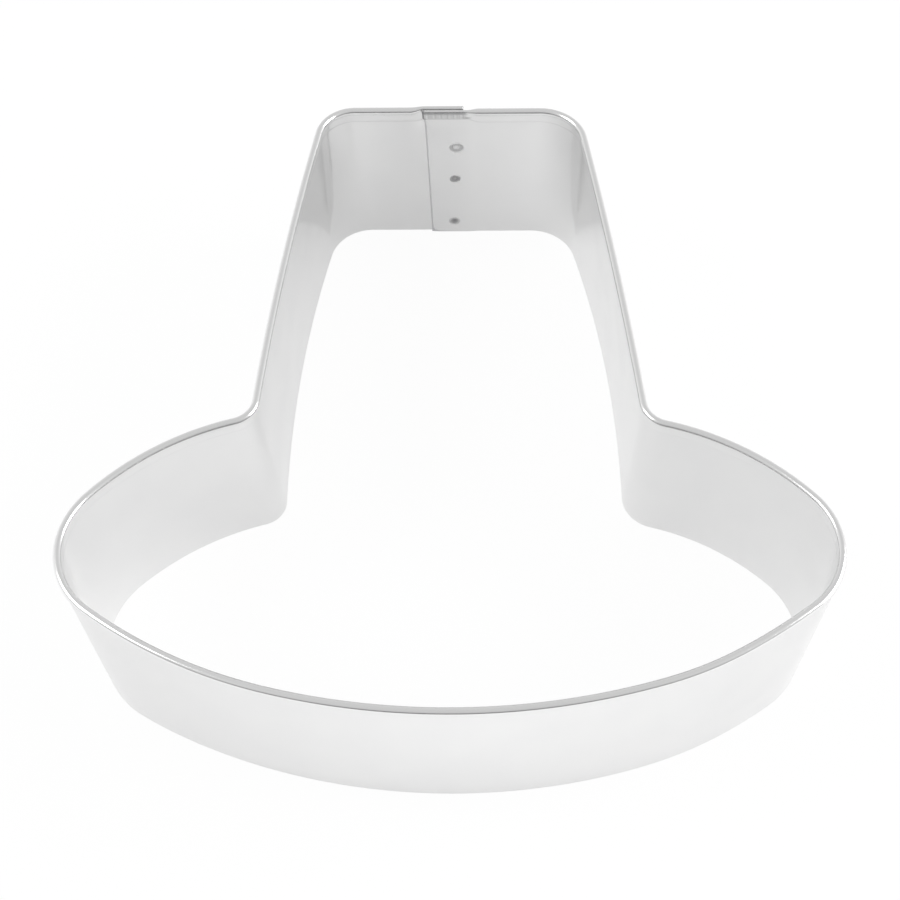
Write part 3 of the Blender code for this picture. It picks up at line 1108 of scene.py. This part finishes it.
class Paths:
    """Small helper that adds linked nodes to a node tree."""

    def __init__(self, tree: Tree) -> None:
        """Keep the tree that the nodes go into."""
        self.tree = tree

    def add(self, kind: str, inputs: dict | None = None, **settings: object) -> Node:
        """Add one node.

        Args:
            kind: Blender's name of the node, without the word ShaderNode.
            inputs: values or sockets for its inputs, by name or number.
            settings: the node's own properties.

        Returns:
            The node.
        """
        node = self.tree.nodes.new(kind if kind.startswith("Node") else "ShaderNode" + kind)
        for key, value in settings.items():
            setattr(node, key, value)
        for key, value in (inputs or {}).items():
            if isinstance(value, Socket):
                self.tree.links.new(value, node.inputs[key])
            else:
                node.inputs[key].default_value = value
        return node

    def math(self, operation: str, a: Value, b: Value | None = None, clamp: bool = False) -> Socket:
        """Result of one Math node."""
        inputs = {0: a} if b is None else {0: a, 1: b}
        return self.add("Math", inputs, operation=operation, use_clamp=clamp).outputs[0]

    def spread(
        self, value: Value, low: float, high: float, to_low: float = 0.0, to_high: float = 1.0
    ) -> Socket:
        """Value mapped smoothly from low..high to to_low..to_high."""
        span = {"From Min": low, "From Max": high, "To Min": to_low, "To Max": to_high}
        node = self.add("MapRange", {"Value": value, **span}, interpolation_type="SMOOTHSTEP")
        return node.outputs["Result"]

    def mix(self, factor: Value, first: Socket | Colour, second: Colour) -> Socket:
        """Blend of two colours.

        Args:
            factor: share of the second colour.
            first: the first colour.
            second: the second colour.

        Returns:
            The blend.
        """
        start = first if isinstance(first, Socket) else (*first, 1.0)
        inputs = {"Factor": factor, "A": start, "B": (*second, 1.0)}
        return self.add("Mix", inputs, data_type="RGBA").outputs["Result"]

    def noise(self, vector: Socket, scale: Value, detail: float, roughness: float = 0.5) -> Socket:
        """Noise about its middle value, 0.5."""
        inputs = {"Vector": vector, "Scale": scale, "Detail": detail, "Roughness": roughness}
        return self.add("TexNoise", inputs).outputs["Fac"]

    def mapped(self, vector: Socket, scale: Colour, **more: Colour) -> Socket:
        """The vector scaled, and turned or moved where the keywords Rotation or Location say so."""
        return self.add("Mapping", {"Vector": vector, "Scale": scale, **more}).outputs[0]

    def group(self, tree: Tree, inputs: dict[str, Value]) -> Socket:
        """First output of a node group."""
        return self.add("Group", inputs, node_tree=tree).outputs[0]


def new_group(name: str, numbers: tuple[str, ...], output: str) -> tuple[Tree, Node, Node, Paths]:
    """An empty shader node group that takes a vector and numbers and puts out one number.

    Args:
        name: the group's name.
        numbers: names of the inputs beside Vector.
        output: name of the output.

    Returns:
        The group's tree, its input node, its output node and the helper.
    """
    tree = bpy.data.node_groups.new(name, "ShaderNodeTree")
    tree.interface.new_socket("Vector", in_out="INPUT", socket_type="NodeSocketVector")
    for title in numbers:
        tree.interface.new_socket(title, in_out="INPUT", socket_type="NodeSocketFloat")
    tree.interface.new_socket(output, in_out="OUTPUT", socket_type="NodeSocketFloat")
    paths = Paths(tree)
    return tree, paths.add("NodeGroupInput"), paths.add("NodeGroupOutput"), paths


@dataclass
class Effects:
    """Surface effects that more than one finish uses, each a node group built once.

    A layer of grain is its stretch and its fineness, a set of scratches its turn and
    its seed. The clouds spread cloud_span, the middle of the noise's range, over the
    whole of it. A higher patch_gain gives the patches of scratches harder edges.
    """

    grain_layers: tuple[tuple[float, float], ...] = ((0.012, 1.0), (0.004, 0.28))
    cloud_span: tuple[float, float] = (0.2, 0.8)
    cloud_roughness: float = 0.4
    scratch_sets: tuple[tuple[float, float], ...] = ((0.5, 3.0), (-1.1, 17.0))
    scratch_stretch: float = 0.03
    scratches_per_mm: float = 0.9
    patches_per_mm: float = 0.22
    patch_gain: float = 6.0
    grain: Tree = field(init=False)
    clouds: Tree = field(init=False)
    scuffs: Tree = field(init=False)

    def __post_init__(self) -> None:
        """Build the three groups."""
        self.grain = self.rolled_grain()
        self.clouds = self.cloudy_tin()
        self.scuffs = self.handling_scuffs()

    def rolled_grain(self) -> Tree:
        """Fine lines that the rolling mill leaves along the sheet.

        Noise is stretched along the first direction of the vector, in a fine layer
        and a broad one, and the two are averaged.

        Returns:
            The group.
        """
        tree, given, result, paths = new_group("rolled_grain", ("Lines per mm",), "Height")
        layers = []
        for stretch, fineness in self.grain_layers:
            drawn = paths.mapped(given.outputs["Vector"], (stretch, 1.0, 1.0))
            scale = paths.math("MULTIPLY", given.outputs["Lines per mm"], fineness)
            layers.append(paths.noise(drawn, scale, detail=2.0))
        mean = paths.math("MULTIPLY", paths.math("ADD", *layers), 0.5)
        tree.links.new(mean, result.inputs["Height"])
        return tree

    def cloudy_tin(self) -> Tree:
        """Soft clouds in the tin coat: noise whose middle is spread over the whole range.

        Returns:
            The group.
        """
        tree, given, result, paths = new_group("cloudy_tin", ("Clouds per mm",), "Cloud")
        vector, scale = given.outputs["Vector"], given.outputs["Clouds per mm"]
        noise = paths.noise(vector, scale, detail=2.0, roughness=self.cloud_roughness)
        tree.links.new(paths.spread(noise, *self.cloud_span), result.inputs["Cloud"])
        return tree

    def handling_scuffs(self) -> Tree:
        """Hair-fine scratches from handling, in two directions.

        A scratch is where stretched noise comes close to its middle value: 1 less the
        distance from it over the scratch's width. Patches of coarse noise hold
        each set to a few places.

        Returns:
            The group.
        """
        numbers = ("Scratch width", "Spread")
        tree, given, result, paths = new_group("handling_scuffs", numbers, "Mask")
        sets = []
        for turn, seed in self.scratch_sets:
            turned = paths.mapped(
                given.outputs["Vector"],
                (1.0, 1.0, 1.0),
                Rotation=(0, 0, turn),
                Location=(seed, seed, 0.0),
            )
            drawn = paths.mapped(turned, (self.scratch_stretch, 1.0, 1.0))
            lines = paths.noise(drawn, self.scratches_per_mm, detail=0.0)
            away = paths.math("ABSOLUTE", paths.math("SUBTRACT", lines, 0.5))
            near = paths.math("DIVIDE", away, given.outputs["Scratch width"])
            line = paths.math("SUBTRACT", 1.0, near, clamp=True)
            patches = paths.noise(turned, self.patches_per_mm, detail=1.0)
            held = paths.math("SUBTRACT", patches, given.outputs["Spread"], clamp=True)
            held = paths.math("MULTIPLY", held, self.patch_gain, clamp=True)
            sets.append(paths.math("MULTIPLY", line, held))
        tree.links.new(paths.math("MAXIMUM", *sets), result.inputs["Mask"])
        return tree


def blank_material(name: str) -> tuple[bpy.types.Material, Paths, Node]:
    """A material with only its Principled shader and output.

    Args:
        name: the material's name.

    Returns:
        The material, the helper for its nodes, and the Principled shader.
    """
    material = bpy.data.materials.new(name)
    material.use_nodes = True
    tree = material.node_tree
    return material, Paths(tree), tree.nodes["Principled BSDF"]


@dataclass(frozen=True)
class Tinplate:
    """Bright rolled tinplate, with uncoated steel showing at its cut edges.

    Where the sheet is scuffed, pressed or cut it is rougher by scuff_rough,
    pressed_rough or cut_rough. The uncoated edge is bare_width millimetres wide, give or
    take the share ragged, and fades over the share cut_fade to either side. Widened at
    the inner layer's end, that dark band is painted shade along the seam, and where the
    jaws pressed the hem the colour paints darker streaks and painted shade in the groove
    under the bead, under the rising bead and in the hollow at the cut end.
    """

    bright: Colour = (0.868, 0.868, 0.866)
    dull: Colour = (0.852, 0.852, 0.853)
    # Colour of uncoated steel at the cut edges, and of the painted shade along the seam at the
    # inner layer's end.
    bare_steel_and_seam_shade: Colour = (0.62, 0.62, 0.63)
    # Dark colour where the jaws pressed: darker streaks, and painted shade in the groove under the
    # bead, under the rising bead and in the hollow at the cut end.
    press_mark_and_shade: Colour = (0.24, 0.24, 0.245)
    smooth: float = 0.16
    rough: float = 0.20
    scuff_rough: float = 0.08
    pressed_rough: float = 0.12
    cut_rough: float = 0.18
    bare_width: float = 0.07
    ragged: float = 0.15
    ragged_per_mm: float = 3.0
    ragged_span: tuple[float, float] = (0.3, 0.7)
    cut_fade: float = 0.25
    lines_per_mm: float = 9.0
    clouds_per_mm: float = 0.16
    scratch_width: float = 0.006
    scratch_spread: float = 0.55
    scratch_depth: float = 0.5
    grain_bump: float = 0.06
    grain_depth: float = 0.004 * MM

    def material(self, effects: Effects) -> bpy.types.Material:
        """Build the material: grain and scuffs in the bump, clouds in colour and roughness.

        Args:
            effects: the shared node groups.

        Returns:
            The material.
        """
        material, paths, shader = blank_material("bright_tinplate")
        sheet = paths.add("UVMap", uv_map="sheet").outputs[0]
        in_mm = paths.mapped(sheet, (1 / MM, 1 / MM, 1.0))
        edges_and_shade = paths.add("SeparateXYZ", {0: paths.add("UVMap", uv_map="edges_and_shade").outputs[0]})
        to_cut, pressed = edges_and_shade.outputs["X"], edges_and_shade.outputs["Y"]
        grain = paths.group(effects.grain, {"Vector": in_mm, "Lines per mm": self.lines_per_mm})
        cloud = paths.group(effects.clouds, {"Vector": in_mm, "Clouds per mm": self.clouds_per_mm})
        scratches = {"Scratch width": self.scratch_width, "Spread": self.scratch_spread}
        scuff = paths.group(effects.scuffs, {"Vector": in_mm, **scratches})

        noise = paths.noise(in_mm, self.ragged_per_mm, detail=2.0)
        narrow, wide = ((1 + share) * self.bare_width for share in (-self.ragged, self.ragged))
        reach = paths.spread(noise, *self.ragged_span, narrow, wide)
        share = paths.math("DIVIDE", to_cut, reach)
        # The cut mask: uncoated cut edges, and the painted shade along the seam where the band is
        # widened.
        cut = paths.spread(share, 1 + self.cut_fade, 1 - self.cut_fade)

        tin = paths.mix(cloud, self.bright, self.dull)
        # Uncoated cut edges, widened into painted shade along the seam, then the jaws' darker
        # streaks and painted shade in the pressed hem.
        colour = paths.mix(pressed, paths.mix(cut, tin, self.bare_steel_and_seam_shade), self.press_mark_and_shade)
        rough = paths.spread(cloud, 0.0, 1.0, self.smooth, self.rough)
        added_where = (
            (pressed, self.pressed_rough),
            (scuff, self.scuff_rough),
            (cut, self.cut_rough),
        )
        for mask, added in added_where:
            rough = paths.math("ADD", rough, paths.math("MULTIPLY", mask, added))
        height = paths.math("SUBTRACT", grain, paths.math("MULTIPLY", scuff, self.scratch_depth))
        bump = {"Height": height, "Strength": self.grain_bump, "Distance": self.grain_depth}
        relief = paths.add("Bump", bump)

        link = material.node_tree.links.new
        link(colour, shader.inputs["Base Color"])
        link(rough, shader.inputs["Roughness"])
        link(relief.outputs[0], shader.inputs["Normal"])
        shader.inputs["Metallic"].default_value = 1.0
        return material


# Share of the burnt colour by the oval's distance from the middle, for each kind of print.
PRINT_BURNS = {
    Print.RING: ((0.0, 0.15), (0.30, 0.22), (0.55, 0.54), (0.92, 0.52), (1.0, 0.10)),
    Print.PIT: ((0.0, 0.60), (0.45, 0.84), (0.90, 0.66), (1.0, 0.15)),
    Print.BOWL: ((0.0, 0.95), (0.45, 0.80), (0.80, 0.42), (1.0, 0.12)),
}


@dataclass(frozen=True)
class WeldPrint:
    """Tin that was melted and pressed under the electrode, darkened where it burnt.

    The clouds move the rings' outlines by up to half of wander either way.
    """

    mark: Print
    pale: Colour = (0.86, 0.86, 0.86)
    burnt: Colour = (0.22, 0.22, 0.225)
    smooth: float = 0.24
    rough: float = 0.38
    wander: float = 0.16
    clouds_per_mm: float = 2.2
    scratch_width: float = 0.03
    scratch_spread: float = 0.35
    bump: float = 0.35
    bump_depth: float = 0.02 * MM

    def material(self, effects: Effects) -> bpy.types.Material:
        """Build the material: rings of burnt tin, broken up by clouds.

        Args:
            effects: the shared node groups.

        Returns:
            The material.
        """
        material, paths, shader = blank_material("pressed_tinplate_" + self.mark.value)
        on_print = paths.add("UVMap", uv_map="print").outputs[0]
        oval = paths.add("SeparateXYZ", {0: on_print}).outputs["Y"]
        solid = paths.add("TexCoord").outputs["Object"]
        in_mm = paths.mapped(solid, (1 / MM, 1 / MM, 1 / MM))
        cloud = paths.group(effects.clouds, {"Vector": in_mm, "Clouds per mm": self.clouds_per_mm})
        scratches = {"Scratch width": self.scratch_width, "Spread": self.scratch_spread}
        scuff = paths.group(effects.scuffs, {"Vector": in_mm, **scratches})

        wander = paths.math("MULTIPLY", paths.math("SUBTRACT", cloud, 0.5), self.wander)
        ramp = paths.add("ValToRGB", {"Fac": paths.math("ADD", oval, wander)})
        stops = ramp.color_ramp
        stops.interpolation = "EASE"
        burns = PRINT_BURNS[self.mark]
        while len(stops.elements) < len(burns):
            stops.elements.new(0.5)
        for element, (share, burnt) in zip(stops.elements, burns):
            element.position = share
            element.color = (burnt, burnt, burnt, 1.0)
        height = paths.math("ADD", cloud, scuff)
        bump = {"Height": height, "Strength": self.bump, "Distance": self.bump_depth}
        relief = paths.add("Bump", bump)

        link = material.node_tree.links.new
        link(paths.mix(ramp.outputs["Color"], self.pale, self.burnt), shader.inputs["Base Color"])
        link(paths.spread(cloud, 0.0, 1.0, self.smooth, self.rough), shader.inputs["Roughness"])
        link(relief.outputs[0], shader.inputs["Normal"])
        shader.inputs["Metallic"].default_value = 1.0
        return material


@dataclass(frozen=True)
class SoftBox:
    """One soft lamp, seen from the cutter's middle."""

    name: str
    azimuth: float
    elevation: float
    distance: float
    width: float
    height: float
    watts: float

    def build(self) -> bpy.types.Object:
        """An area lamp at its angles, turned to face the cutter's middle.

        Returns:
            The lamp's object.
        """
        lamp = bpy.data.lights.new(self.name, "AREA")
        lamp.shape = "RECTANGLE"
        lamp.size = self.width
        lamp.size_y = self.height
        lamp.energy = self.watts
        away = Vector((
            np.cos(self.elevation) * np.sin(self.azimuth),
            -np.cos(self.elevation) * np.cos(self.azimuth),
            np.sin(self.elevation),
        ))
        obj = link_object(self.name, lamp)
        obj.location = away * self.distance
        obj.rotation_euler = away.to_track_quat("Z", "Y").to_euler()
        return obj


@dataclass(frozen=True)
class Studio:
    """Pale floor, soft light all round, a soft box on either hand and the camera.

    The floor is a board of brightness floor_white. To the camera the share floor_glow
    of it glows pure white, and to mirrors the share floor_mirror.
    """

    floor_half: float = 1.5
    floor_points: int = 3
    floor_white: float = 0.93
    floor_glow: float = 0.95
    floor_mirror: float = 0.35
    overhead: float = 0.67
    side_lift: float = 0.24
    back_lift: float = 0.10
    front_fall: float = 0.55
    least_sky: float = 0.02
    lens: float = 64.0
    sensor: float = 36.0
    clip_start: float = 0.01
    camera_place: tuple[float, float, float] = (3.59 * MM, -111.55 * MM, 182.47 * MM)
    camera_heading: float = radians(2.000)
    camera_tilt: float = radians(32.603)
    camera_roll: float = radians(-1.761)
    boxes: tuple[SoftBox, ...] = (
        SoftBox(
            "left_soft_box", azimuth=radians(-84), elevation=radians(45),
            distance=0.60, width=0.30, height=0.24, watts=1.10,
        ),
        SoftBox(
            "right_soft_box", azimuth=radians(90), elevation=radians(30),
            distance=0.60, width=0.36, height=0.28, watts=2.15,
        ),
    )

    def floor(self) -> bpy.types.Object:
        """A plain square of floor, level with the cutting edge.

        Returns:
            The floor's object.
        """
        count = self.floor_points
        span = np.linspace(-self.floor_half, self.floor_half, count)
        x, y = np.meshgrid(span, span, indexing="ij")
        points = np.dstack([x, y, np.zeros_like(x)])
        corners = grid_faces(count, count, round_rows=False, round_columns=False)[:, ::-1]
        faces = corners[..., 0] * count + corners[..., 1]
        mesh = bpy.data.meshes.new("floor")
        mesh.from_pydata(points.reshape(-1, 3), [], faces.tolist())
        mesh.materials.append(self.floor_material())
        return link_object("floor", mesh)

    def floor_material(self) -> bpy.types.Material:
        """White board that still takes a faint shadow.

        What the camera, a mirror or glass sees is part glow of strength 1 and part lit
        board, and all else sees the lit board alone.

        Returns:
            The material.
        """
        material, paths, shader = blank_material("white_board")
        tree = material.node_tree
        tree.nodes.remove(shader)
        ways = paths.add("LightPath").outputs
        white = (self.floor_white, self.floor_white, self.floor_white, 1.0)
        board = paths.add("BsdfDiffuse", {"Color": white})
        glow = paths.add("Emission", {"Color": (1.0, 1.0, 1.0, 1.0), "Strength": 1.0})
        seen = paths.math("MULTIPLY", ways["Is Camera Ray"], self.floor_glow)
        other = paths.math("MAXIMUM", ways["Is Glossy Ray"], ways["Is Transmission Ray"])
        seen = paths.math("MAXIMUM", seen, paths.math("MULTIPLY", other, self.floor_mirror))
        both = paths.add("MixShader", {0: seen, 1: board.outputs[0], 2: glow.outputs[0]})
        tree.links.new(both.outputs[0], tree.nodes["Material Output"].inputs["Surface"])
        return material

    def world(self) -> None:
        """A soft sky, brighter to the left and right and low at the back, dim low at the front.

        Its strength at a direction x, y, z of length 1 is the overhead value, plus
        the side lift times x squared, plus the back lift times y times (1 less z),
        less the front fall times the part of y towards the front times (1 less z)
        squared, and at least least_sky.
        """
        world = bpy.data.worlds.new("studio")
        world.use_nodes = True
        bpy.context.scene.world = world
        tree = world.node_tree
        paths = Paths(tree)
        way = paths.add("SeparateXYZ", {0: paths.add("TexCoord").outputs["Generated"]}).outputs
        sides = paths.math("MULTIPLY", paths.math("MULTIPLY", way["X"], way["X"]), self.side_lift)
        low = paths.math("SUBTRACT", 1.0, way["Z"], clamp=True)
        back = paths.math("MULTIPLY", paths.math("MULTIPLY", way["Y"], low), self.back_lift)
        front = paths.math("MAXIMUM", paths.math("MULTIPLY", way["Y"], -self.front_fall), 0.0)
        dim = paths.math("MULTIPLY", front, paths.math("MULTIPLY", low, low))
        lit = paths.math("SUBTRACT", paths.math("ADD", sides, back), dim)
        sky = paths.math("MAXIMUM", paths.math("ADD", lit, self.overhead), self.least_sky)
        tree.links.new(sky, tree.nodes["Background"].inputs["Strength"])
        tree.nodes["Background"].inputs["Color"].default_value = (1.0, 1.0, 1.0, 1.0)

    def camera(self) -> bpy.types.Object:
        """The camera at the photograph's angle.

        Returns:
            The camera's object, which is the scene's camera.
        """
        data = bpy.data.cameras.new("camera")
        data.lens = self.lens
        data.sensor_width = self.sensor
        data.sensor_fit = "HORIZONTAL"
        data.clip_start = self.clip_start
        turn = (
            Matrix.Rotation(self.camera_heading, 4, "Z")
            @ Matrix.Rotation(self.camera_tilt, 4, "X")
            @ Matrix.Rotation(self.camera_roll, 4, "Z")
        )
        obj = link_object("camera", data)
        obj.matrix_world = Matrix.Translation(self.camera_place) @ turn
        bpy.context.scene.camera = obj
        return obj

    def build(self) -> None:
        """Put up the floor, the light and the camera."""
        bpy.context.scene.view_settings.view_transform = "Standard"
        self.floor()
        self.world()
        for box in self.boxes:
            box.build()
        self.camera()


RIM = Outline(
    half_width=44.30 * MM,
    front_y=-43.83 * MM,
    crown_y=43.83 * MM,
    front_radius=81.3 * MM,
    left=Half(
        crown_top=17.38 * MM,
        crown_low=23.33 * MM,
        side_bow=0.64 * MM,
        corner_radius=4.9 * MM,
        neck_radius=3.2 * MM,
        back_radius=33.3 * MM,
        tip_radius=10.1 * MM,
        tip_turn=radians(40.5),
        flank_radius=60.2 * MM,
        shoulder_radius=57.3 * MM,
        shoulder_turn=radians(10.1),
        front_turn=radians(14.0),
    ),
    right=Half(
        crown_top=16.76 * MM,
        crown_low=23.12 * MM,
        side_bow=0.40 * MM,
        corner_radius=6.0 * MM,
        neck_radius=3.2 * MM,
        back_radius=33.2 * MM,
        tip_radius=9.7 * MM,
        tip_turn=radians(41.7),
        flank_radius=71.4 * MM,
        shoulder_radius=43.1 * MM,
        shoulder_turn=radians(12.3),
        front_turn=radians(16.9),
    ),
)

EDGE = Outline(
    half_width=43.44 * MM,
    front_y=-43.26 * MM,
    crown_y=44.14 * MM,
    front_radius=78.6 * MM,
    left=Half(
        crown_top=17.16 * MM,
        crown_low=22.19 * MM,
        side_bow=1.57 * MM,
        corner_radius=6.2 * MM,
        neck_radius=3.3 * MM,
        back_radius=35.6 * MM,
        tip_radius=11.5 * MM,
        tip_turn=radians(45.1),
        flank_radius=60.0 * MM,
        shoulder_radius=76.0 * MM,
        shoulder_turn=radians(9.9),
        front_turn=radians(14.2),
    ),
    right=Half(
        crown_top=16.05 * MM,
        crown_low=22.49 * MM,
        side_bow=1.75 * MM,
        corner_radius=6.6 * MM,
        neck_radius=4.5 * MM,
        back_radius=31.8 * MM,
        tip_radius=11.1 * MM,
        tip_turn=radians(45.0),
        flank_radius=63.5 * MM,
        shoulder_radius=51.5 * MM,
        shoulder_turn=radians(12.3),
        front_turn=radians(17.0),
    ),
)

WELDS = (
    SpotWeld(
        "upper_weld", "spot_weld_upper", x=0.40 * MM, height=18.0 * MM, radius=1.00 * MM,
        mark=Print.RING, long=1.0, tall=0.80, tilt=0.08, middle=(-0.04, 0.0),
    ),
    SpotWeld(
        "middle_weld", "spot_weld_middle", x=0.10 * MM, height=11.6 * MM, radius=0.80 * MM,
        mark=Print.PIT, long=1.0, tall=0.86, tilt=0.35, middle=(-0.05, 0.0),
    ),
    SpotWeld(
        "lower_weld", "spot_weld_lower", x=-0.10 * MM, height=2.4 * MM, radius=0.80 * MM,
        mark=Print.BOWL, long=1.02, tall=0.98, middle=(-0.03, 0.0),
    ),
)


def place(piece: bpy.types.Object, node: str, slot: str, material: bpy.types.Material) -> None:
    """Dress a finished piece and let it stand for its solid.

    Args:
        piece: the new object.
        node: the solid that it stands for.
        slot: not used.
        material: its material.
    """
    piece.data.materials.clear()
    piece.data.materials.append(material)
    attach(piece, "root")
    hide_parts(node)
    log.info("%s: %d faces, in place of %s", piece.name, len(piece.data.polygons), node)


def main() -> None:
    """Build the cutter's pieces in order, then the studio round them."""
    logging.basicConfig(level=logging.INFO, format="%(name)s %(message)s")
    effects = Effects()
    strip = HatStrip(RIM, EDGE)
    body = strip.build(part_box("tinplate_strip"))
    row = WeldRow(WELDS)
    row.pierce(body, strip)
    place(body, "tinplate_strip", "tinplate", Tinplate().material(effects))
    for weld, slug in row.build(strip):
        place(slug, weld.node, "pressed_tinplate", WeldPrint(weld.mark).material(effects))
    Studio().build()


if __name__ == "__main__":
    main()
